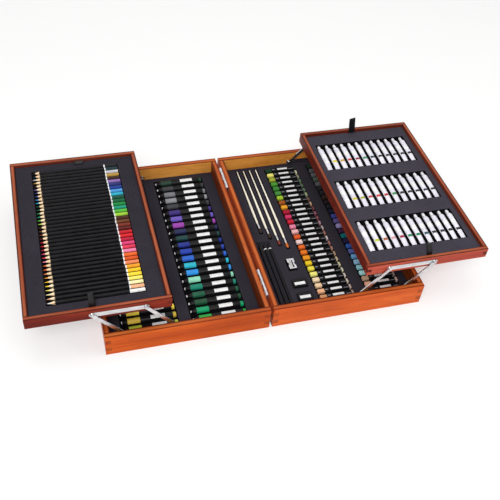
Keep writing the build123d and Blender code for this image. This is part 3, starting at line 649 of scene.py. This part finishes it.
def crayon_column(name, stands_for, colours):
    """Crayons along X: a cap with a white dot, a coloured band, a black barrel and a coloured end.

    The paper label covers the upper part of the barrel.
    """
    low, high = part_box(stands_for)
    radius = (high.z - low.z) / 2
    half = radius * ACROSS
    plastic = coat("black_satin")
    coats = {"dot": coat("white_paint"), "plastic": plastic,
             "label": on_top(38, 142, coat("label_paper"), plastic)}
    form = Form(name)
    for y, colour in zip(spaced(high.y - half, low.y + half, len(colours)), colours):
        shift = waver(0.5)
        coats["colour"] = coat("coloured_paint", srgb(colour))
        rings = []
        for along, share, _ in CRAYON_STATIONS:
            centre = Vector((low.x + shifted(along, CRAYON_LENGTH, shift), y, (low.z + high.z) / 2))
            rings.append(circle(centre, Y, Z, radius * share, radius * share, CRAYON_SIDES))
        form.skin(rings, [coats[kind] for _, _, kind in CRAYON_STATIONS])
    form.place("left_base", "crayon", [stands_for])


# Pastels

PASTEL_LENGTH = 70.5
PASTEL_CORNER = 0.12            # share of the half width that is cut from each corner
# Stations: millimetres from the bare end, share of the half width, and what the next span is
PASTEL_STATIONS = (
    (0.0, 0.74, "stick"), (0.8, 0.86, "stick"), (13.0, 0.86, "stick"), (13.4, 0.86, "wrap"),
    (13.4, 1.0, "wrap"), (26.0, 1.0, "wrap"), (51.5, 1.0, "wrap"), (66.0, 1.0, "wrap"),
    (66.0, 0.94, "end"), (69.8, 0.94, "end"), (PASTEL_LENGTH, 0.82, "end"))
# Slips: what they are, millimetres from and to, and shares of the half width from and to
PASTEL_LABEL = ("label_paper", 27.0, 50.5, -0.5, 0.5)
# The first dash is print; the second, along the lower edge past the label, is a painted highlight on the
# wrap
PASTEL_PRINT_AND_HIGHLIGHT = (("dash_print_and_highlight", 15.5, 21.5, -0.2, 0.2), ("dash_print_and_highlight", 54.5, 65.0, -0.55, -0.3))


def rounded_square(centre, half, corner):
    """Eight points: a square across Y and Z with its corners cut."""
    short = half - corner
    return [centre + Y * y + Z * z for y, z in (
        (half, -short), (half, short), (short, half), (-short, half),
        (-half, short), (-half, -short), (-short, -half), (short, -half))]


def paled(tint):
    """A tint as it looks in the dim end of a stick, greyer and a little darker."""
    red, green, blue, _ = tint
    brightness = 0.21 * red + 0.72 * green + 0.07 * blue
    return tuple(0.35 * part + 0.5 * brightness for part in (red, green, blue)) + (1,)


def pastel_slip(form, start, half, slip, sway=0):
    """A label, a printed line or a painted highlight line, a fraction of a millimetre over the wrap."""
    material_name, first, last, front, back = slip
    corners = rectangle(start.x + first * MM + sway, start.y + front * half,
                        start.x + last * MM + sway, start.y + back * half, start.z)
    form.slip(corners, half - 0.05 * MM, half + 0.12 * MM, coat(material_name))


def pastel_column(name, stands_for, colours):
    """Square sticks along X, bare at one end and wrapped in black paper with a bare label."""
    low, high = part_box(stands_for)
    half = (high.z - low.z) / 2
    form = Form(name)
    for y, colour in zip(spaced(high.y - half, low.y + half, len(colours)), colours):
        tint = srgb(colour)
        coats = {"stick": coat("coloured_stick", tint), "wrap": coat("black_paper"),
                 "end": coat("coloured_stick", paled(tint))}
        shift = waver(0.6)
        start = Vector((low.x, y, (low.z + high.z) / 2))
        rings = []
        for along, share, _ in PASTEL_STATIONS:
            centre = start + X * shifted(along, PASTEL_LENGTH, shift)
            rings.append(rounded_square(centre, half * share, half * PASTEL_CORNER))
        form.skin(rings, [coats[kind] for _, _, kind in PASTEL_STATIONS])
        pastel_slip(form, start, half, PASTEL_LABEL, waver(1.2))
        # a printed dash and a painted highlight line
        for slip in PASTEL_PRINT_AND_HIGHLIGHT:
            pastel_slip(form, start, half, slip)
    form.place("right_base", "pastel", [stands_for])


# Paint tubes

TUBE_SIDES = 20
CAP_SIDES = 32
CAP_RIBS = 16
TUBE_LENGTH = 84 * MM
TUBE_ROW_PITCH = 124 * MM
TUBE_SHOULDER = 74.4
# Stations: millimetres from the crimp, half width and half height as shares of the radius, and
# what the next span is
TUBE_STATIONS = (
    (0.0, 0.93, 0.11, "plastic"), (0.6, 0.96, 0.15, "plastic"), (2.2, 0.96, 0.11, "plastic"),
    (2.8, 0.96, 0.17, "plastic"), (4.6, 0.96, 0.13, "plastic"), (8.0, 0.98, 0.34, "plastic"),
    (16.0, 1.0, 0.62, "plastic"), (22.5, 1.0, 0.76, "mark"), (28.5, 1.0, 0.85, "plastic"),
    (40.0, 1.0, 0.93, "hint"), (52.0, 1.0, 0.98, "plastic"), (66.5, 1.0, 1.0, "plastic"),
    (69.0, 0.96, 0.96, "plastic"), (72.5, 0.70, 0.70, "plastic"), (TUBE_SHOULDER, 0.50, 0.50, "plastic"))
# Stations of a cap: millimetres from the crimp, share of its radius, and whether it is ribbed
CAP_STATIONS = ((74.5, 0.96, True), (75.0, 1.0, True), (81.0, 0.93, True), (81.5, 0.86, False),
                (83.3, 0.82, False), (84.0, 0.66, False))


def paint_tube(form, foot, radius, colour):
    """One tube along Y, flat at its crimped foot, with its colour printed on its upper side."""
    lean = waver(0.5)
    mark = srgb(colour)
    hint = tuple(0.86 + 0.06 * part for part in mark[:3]) + (1,)
    unprinted = coat("tube_print")
    coats = {"plastic": coat("tube_plastic"),
             "mark": on_top(50, 130, coat("tube_print", mark), unprinted),
             "hint": on_top(50, 130, coat("tube_print", hint), unprinted)}
    rings = []
    for along, wide, tall, _ in TUBE_STATIONS:
        sway = lean * math.sin(along / TUBE_SHOULDER * math.pi)
        centre = foot + Vector((sway, along * MM, 0))
        rings.append(circle(centre, X, Z, radius * wide, radius * tall, TUBE_SIDES))
    form.skin(rings, [coats[kind] for _, _, _, kind in TUBE_STATIONS])


def ribbed(turn):
    """The fine ribs round a cap."""
    return 1 - 0.05 * (0.5 + 0.5 * math.cos(CAP_RIBS * turn))


def screw_cap(form, foot, radius):
    rings = []
    for along, share, has_ribs in CAP_STATIONS:
        swell = ribbed if has_ribs else None
        rings.append(circle(foot + Y * along * MM, X, Z, radius * share, radius * share, CAP_SIDES, swell))
    form.skin(rings, [coat("cap_plastic")] * len(rings))


def paint_tubes():
    """Three rows of tubes as one piece, and their caps as another."""
    low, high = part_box("paint_tubes")
    cap_low, cap_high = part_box("paint_tube_caps")
    radius = (high.z - low.z) / 2
    half = radius * ACROSS
    tubes = Form("paint_tube_bodies")
    caps = Form("paint_tube_screw_caps")
    for row, colours in enumerate(TUBE_MARKS):
        y = low.y + TUBE_ROW_PITCH * (len(TUBE_MARKS) - 1 - row)
        for x, colour in zip(spaced(low.x + half, high.x - half, len(colours)), colours):
            foot = Vector((x, y, (low.z + high.z) / 2))
            paint_tube(tubes, foot, radius, colour)
            screw_cap(caps, foot, (cap_high.z - cap_low.z) / 2)
    tubes.place("right_tray", "white_plastic", ["paint_tubes"], sharp=40)
    caps.place("right_tray", "white_plastic", ["paint_tube_caps"], sharp=40)


# Brush tips

HAIR_LENGTH = 13 * MM
HAIR_STRANDS = 70
HAIR_BELLY = 1.3                # the tip's widest radius, against the ferrule's
GOLDEN_TURN = 2.39996
# Each brush from the hinges outward: where its tip ends along Y, and its hair
BRUSHES = (
    (3.0 * MM, coat("dark_hair")), (-15.7 * MM, coat("dark_hair")),
    (-38.6 * MM, coat("warm_hair", srgb("7E3422"))), (-49.7 * MM, coat("warm_hair", srgb("D9722E"))))


def brush_places():
    """The X of each brush, the Z of them all, and the radius of their hair."""
    low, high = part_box("brush_bristles")
    radius = (high.z - low.z) / 2
    return spaced(low.x + radius, high.x - radius, len(BRUSHES)), (low.z + high.z) / 2, radius


def brush_tip(form, root, radius, hair):
    """A pointed core with strands round it, from the ferrule's end toward the front."""
    core = ((0, 0.94), (0.4 * HAIR_LENGTH, HAIR_BELLY), (0.8 * HAIR_LENGTH, 0.8),
            (HAIR_LENGTH - 0.6 * MM, 0.24))
    rings = [circle(root - Y * along, X, Z, radius * share, radius * share, 10) for along, share in core]
    form.skin(rings, [hair] * len(rings))
    for strand in range(HAIR_STRANDS):
        turn = strand * GOLDEN_TURN
        spread = HAIR_BELLY * math.sqrt((strand + 0.5) / HAIR_STRANDS)
        out = (X * math.cos(turn) + Z * math.sin(turn)) * radius * spread
        foot = root + out * 0.75
        belly = root + out - Y * 0.4 * HAIR_LENGTH
        end = root + out * 0.25 - Y * (HAIR_LENGTH - spread * 2.2 * MM)
        thin = ((foot, 0.16 * MM), (belly, 0.16 * MM), (end, 0.05 * MM))
        form.skin([circle(point, X, Z, thick, thick, 3) for point, thick in thin], [hair] * len(thin))


def brush_tips():
    xs, z, radius = brush_places()
    form = Form("brush_tips")
    for x, (front, hair) in zip(xs, BRUSHES):
        brush_tip(form, Vector((x, front + HAIR_LENGTH, z)), radius, hair)
    form.place("right_base", "bristle", ["brush_bristles"], sharp=60)


# The sharpener's fittings and the erasers' bare labels

SUNK = 0.05 * MM                # how far a fitting goes into what it lies on
BLADE_HALF_X = 2.2 * MM
BLADE_HALF_Y = 11.0 * MM
BLADE_RISE = 0.7 * MM
BLADE_EDGE = 0.6 * BLADE_RISE
BLADE_TAPER = 0.6 * MM
BLADE_ASIDE = 2.5 * MM
SCREW_RADIUS = 1.9 * MM
SCREW_HEAD = 1.4 * MM
ERASER_DEPTH = 20 * MM
# The label on an eraser: its two ends along X, and its two edges in depths from the middle
ERASER_LABEL = (3 * MM, 25 * MM, -0.30, 0.06)


def sharpener_blade(top):
    """A blade on one half of the block, lower along its cutting edge and narrower at the back."""
    outline = (
        (-BLADE_HALF_X, -BLADE_HALF_Y, BLADE_RISE), (BLADE_HALF_X, -BLADE_HALF_Y, BLADE_EDGE),
        (BLADE_HALF_X - BLADE_TAPER, BLADE_HALF_Y, BLADE_EDGE),
        (BLADE_TAPER - BLADE_HALF_X, BLADE_HALF_Y, BLADE_RISE))
    middle = top - X * BLADE_ASIDE
    lower = [middle + Vector((x, y, -SUNK)) for x, y, _ in outline]
    upper = [middle + Vector(corner) for corner in outline]
    form = Form("sharpener_blade")
    form.skin([lower, upper], [coat("blade_steel")] * 2)
    form.place("right_base", "bright_metal")


def sharpener_screw(top):
    """A slotted screw through the blade."""
    foot = top + Vector((-BLADE_ASIDE, 1 * MM, BLADE_EDGE))
    form = Form("sharpener_screw")
    rings = [circle(foot + Z * up, X, Y, SCREW_RADIUS * share, SCREW_RADIUS * share, 20)
             for up, share in ((0, 1.0), (SCREW_HEAD / 2, 1.0), (SCREW_HEAD, 0.7))]
    form.skin(rings, [coat("blade_steel")] * len(rings))
    slot = [foot + Vector((x * 0.35 * MM, y * 0.66 * SCREW_RADIUS, SCREW_HEAD + SUNK)) for x, y in SQUARE]
    form.skin([[point - Z * 0.2 * MM for point in slot], slot], [coat("black_satin")] * 2)
    form.place("right_base", "bright_metal")


def sharpener_slot(top):
    """The dark opening for shavings beside the blade."""
    outline = ((0.2, -11), (3.2, -11), (2.8, 9), (0.6, 9))
    opening = [top + Vector((x * MM, y * MM, 0.1 * MM)) for x, y in outline]
    form = Form("sharpener_slot")
    form.skin([[point - Z * 0.15 * MM for point in opening], opening], [coat("black_satin")] * 2)
    form.place("right_base", "black_paint")


def sharpener_fittings():
    low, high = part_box("pencil_sharpener")
    top = Vector(((low.x + high.x) / 2, (low.y + high.y) / 2, high.z))
    sharpener_blade(top)
    sharpener_screw(top)
    sharpener_slot(top)


def eraser_labels():
    """A bare paper slip across each eraser, a little over its top."""
    low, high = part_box("erasers")
    start, end, front, back = ERASER_LABEL
    form = Form("eraser_labels")
    for middle_y in (high.y - ERASER_DEPTH / 2, low.y + ERASER_DEPTH / 2):
        slip = rectangle(low.x + start, middle_y + front * ERASER_DEPTH,
                         low.x + end, middle_y + back * ERASER_DEPTH, high.z)
        lower = [corner - Z * SUNK for corner in slip]
        upper = [corner + Z * 0.15 * MM for corner in slip]
        form.skin([lower, upper], [coat("label_paper")] * 2)
    form.place("right_base", "white_plastic")


# Ribbon pull tabs, one near each end of each tray

TAB_HALF = 9 * MM               # half the width of the CAD's plates
TAB_STEPS = 16
TAB_GAP = 1.1 * MM              # between the ribbon's two layers
TAB_THICKNESS = 0.35 * MM
TAB_OPENING = 8                 # steps over which the layers part from each other
TAB_OFF_WALL = 0.5 * MM
TAB_OFF_INSERT = 1 * MM
TAB_BEND = 2.5 * MM             # below the rim
# Bends are the ribbon's first and last angle from upright, and twist turns its top, in degrees.
# Shift moves its foot and sway its top along the wall.
RIBBONS = {
    ("left", "front"): dict(width=12 * MM, rise=27 * MM, bends=(6, 32), twist=34, shift=-1 * MM, sway=0),
    ("left", "back"): dict(width=18 * MM, rise=10 * MM, bends=(60, 100), twist=4, shift=0, sway=0),
    ("right", "front"): dict(width=11 * MM, rise=27 * MM, bends=(4, 26), twist=-30, shift=-6 * MM,
                             sway=-4 * MM),
    ("right", "back"): dict(width=15 * MM, rise=38 * MM, bends=(0, 6), twist=12, shift=3 * MM,
                            sway=-6 * MM)}


def ribbon_route(foot, rim, way, ribbon):
    """The ribbon's middle line: up beside the wall, and then bending away from it."""
    first, last = (math.radians(angle) for angle in ribbon["bends"])
    stride = ribbon["rise"] / TAB_STEPS
    route = [foot, Vector((foot.x, foot.y, rim - TAB_BEND))]
    for step in range(1, TAB_STEPS + 1):
        bend = first + (last - first) * step / TAB_STEPS
        sideways = ribbon["sway"] / TAB_STEPS
        stepped = Vector((sideways, -way * math.sin(bend) * stride, math.cos(bend) * stride))
        route.append(route[-1] + stepped)
    return route


def folded(route, twist):
    """The line up one side of the route, over a loop and down the other, with the way across it."""
    front, back = [], []
    for number, point in enumerate(route):
        turn = math.radians(twist) * max(number - 1, 0) / TAB_STEPS
        run = (route[min(number + 1, len(route) - 1)] - route[max(number - 1, 0)]).normalized()
        aside = X * math.cos(turn) + run.cross(X) * math.sin(turn)
        outward = aside.cross(run).normalized()
        half_gap = TAB_GAP / 2 * (0.25 + 0.75 * min(1, number / TAB_OPENING))
        front.append((point + outward * half_gap, aside))
        back.append((point - outward * half_gap, aside))
    loop = route[-1] + (route[-1] - route[-2]).normalized() * TAB_GAP
    return front + [(loop, front[-1][1])] + back[::-1]


def strip(name, line, width):
    """The ribbon's mesh: three faces across, all along its line."""
    form = Form(name)
    rows = [form.row([point + aside * (share * width / 2) for share in (-1, -0.33, 0.33, 1)])
            for point, aside in line]
    for one, two in zip(rows, rows[1:]):
        for k in range(3):
            form.face((one[k], one[k + 1], two[k + 1], two[k]), coat("ribbon"))
    return form


def pull_tab(side, end):
    """A ribbon folded over a loop; the front one stands further from the hinges than the back one."""
    ribbon = RIBBONS[side, end]
    tray = f"{side}_tray"
    plates = f"{side}_pull_tabs"
    low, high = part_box(plates)
    way = -1 if end == "front" else 1
    x = low.x + TAB_HALF if (side == "left") == (end == "front") else high.x - TAB_HALF
    wall = high.y if way > 0 else low.y
    foot = Vector((x + ribbon["shift"], wall - way * TAB_OFF_WALL, low.z + TAB_OFF_INSERT))
    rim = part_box(f"{tray}_inner_wall")[1].z
    line = folded(ribbon_route(foot, rim, way, ribbon), ribbon["twist"])
    piece = strip(f"{side}_{end}_pull_tab", line, ribbon["width"]).place(tray, "ribbon", sharp=60)
    cloth = piece.modifiers.new("cloth", "SOLIDIFY")
    cloth.thickness = TAB_THICKNESS
    cloth.offset = 0
    if end == "front":
        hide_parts(plates)


# The CAD nodes' materials

METAL_EACH_SIDE = ("case_bars", "case_rivets", "tray_bars", "tray_rivets", "inner_links", "outer_links",
                   "hinge_leaves")
METAL = ("hinge_pins", "handle_mounts", "hasp_plates", "hasp_strikes", "front_hasp", "back_hasp",
         "brush_ferrules", "pencil_sharpener")


def dress(names, material):
    """Give CAD nodes a material without touching their meshes' own slots."""
    for name in names:
        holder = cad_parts[name]
        if not holder.material_slots:
            holder.data.materials.append(material)
        for place in holder.material_slots:
            place.link = "OBJECT"
            place.material = material


def reach(name):
    """How near the middle, and how far from it, a wall stands along X."""
    low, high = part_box(name)
    return sorted((abs(low.x), abs(high.x)))


def dress_frame(name, near_wall, outsides, rims, insides):
    """Wood for a case or a tray: its front, back and bottom, and then its two other walls."""
    low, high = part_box(f"{name}_front_wall")
    thickness = high.y - low.y
    across = wood(f"{name}_wood_across", "X", "Y", (0, -high.y + SKIN), thickness,
                  (outsides[0], rims, insides[0]))
    span = (reach(f"{name}_{near_wall}")[1] - SKIN, reach(f"{name}_outer_wall")[0] + SKIN)
    along = wood(f"{name}_wood_along", "Y", "X", span, thickness, (outsides[1], rims, insides[1]))
    dress([f"{name}_front_wall", f"{name}_back_wall", f"{name}_bottom"], across)
    dress([f"{name}_{near_wall}", f"{name}_outer_wall"], along)


def hollow_round(name, margin):
    """The hollow that a node lies in: its middle and half size across X and Y."""
    low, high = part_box(name)
    middle, half = (low + high) / 2, (high - low) / 2
    return middle.x, middle.y, half.x + margin, half.y + margin


def brush_hollows():
    """The groove of each brush, from the back of its handle to its tip."""
    xs, _, radius = brush_places()
    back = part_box("brush_handles")[1].y
    return [(x, (back + front) / 2, radius + 1.6 * MM, (back - front) / 2 + 3 * MM)
            for x, (front, _) in zip(xs, BRUSHES)]


def tube_hollows():
    """The hollow of each row of tubes."""
    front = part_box("paint_tubes")[0].y
    x, _, half_x, _ = hollow_round("paint_tubes", 1.5 * MM)
    ys = [front + TUBE_LENGTH / 2 + TUBE_ROW_PITCH * row for row in range(len(TUBE_MARKS))]
    half_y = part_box("paint_tube_caps")[1].y - ys[-1] + 1.5 * MM
    return [(x, y, half_x, half_y) for y in ys]


def dress_inserts():
    """Flock on the inserts, with painted shade: near black in the hollows that hold the contents."""
    left_case = [hollow_round(name, 3.0 * MM) for name in ("outer_crayons", "inner_crayons")]
    right_case = [hollow_round(name, 2.5 * MM)
                  for name in ("inner_pastels", "outer_pastels", "pencil_sharpener")] + brush_hollows()
    left_tray = [hollow_round("colour_pencils", 2.0 * MM)]
    for name, hollows, shades in (
            ("left_case_insert", left_case, DARK_FLOCK), ("right_case_insert", right_case, DARK_FLOCK),
            ("left_tray_insert", left_tray, DARK_FLOCK), ("right_tray_insert", tube_hollows(), PAINTED_LIGHT_FLOCK)):
        dress([name], flocking(f"flocking_{name}", hollows, shades))


def dress_nodes():
    for side in SIDES:
        dress_frame(f"{side}_case", "hinge_wall", (CASE_OUTSIDES_STAIN_AND_LIGHT[side], CASE_OUTSIDES_STAIN_AND_LIGHT[side]),
                    CASE_RIMS, (CASE_INSIDE_ENDS, CASE_INSIDE_SIDES_PAINTED_SHADE))
        dress_frame(f"{side}_tray", "inner_wall", (TRAY_ENDS_PAINTED_LIGHT[side], TRAY_SIDES),
                    TRAY_RIMS, (TRAY_INSIDE, TRAY_INSIDE))
        dress([f"{side}_{name}" for name in METAL_EACH_SIDE], MATERIALS["bright_metal"])
    dress_inserts()
    dress(METAL, MATERIALS["bright_metal"])
    dress(["carry_handle"], MATERIALS["dark_plastic"])
    dress(["brush_handles"], MATERIALS["brush_lacquer"])
    dress(["erasers"], MATERIALS["black_satin"])


# Putting it together


def make_studio():
    make_camera()
    make_world()
    make_floor()
    for lamp in LAMPS:
        make_lamp(*lamp)


def make_contents():
    """The contents' pieces, always in this order, which keeps the small random shifts the same."""
    colour_pencils()
    black_pencils()
    crayon_column("outer_crayon_set", "outer_crayons", OUTER_CRAYONS)
    crayon_column("inner_crayon_set", "inner_crayons", INNER_CRAYONS)
    pastel_column("inner_pastel_set", "inner_pastels", INNER_PASTELS)
    pastel_column("outer_pastel_set", "outer_pastels", OUTER_PASTELS)
    paint_tubes()
    brush_tips()
    sharpener_fittings()
    eraser_labels()


make_studio()
dress_nodes()
make_contents()
for side in SIDES:
    for end in ENDS:
        pull_tab(side, end)

bpy.context.scene.view_settings.view_transform = "Standard"
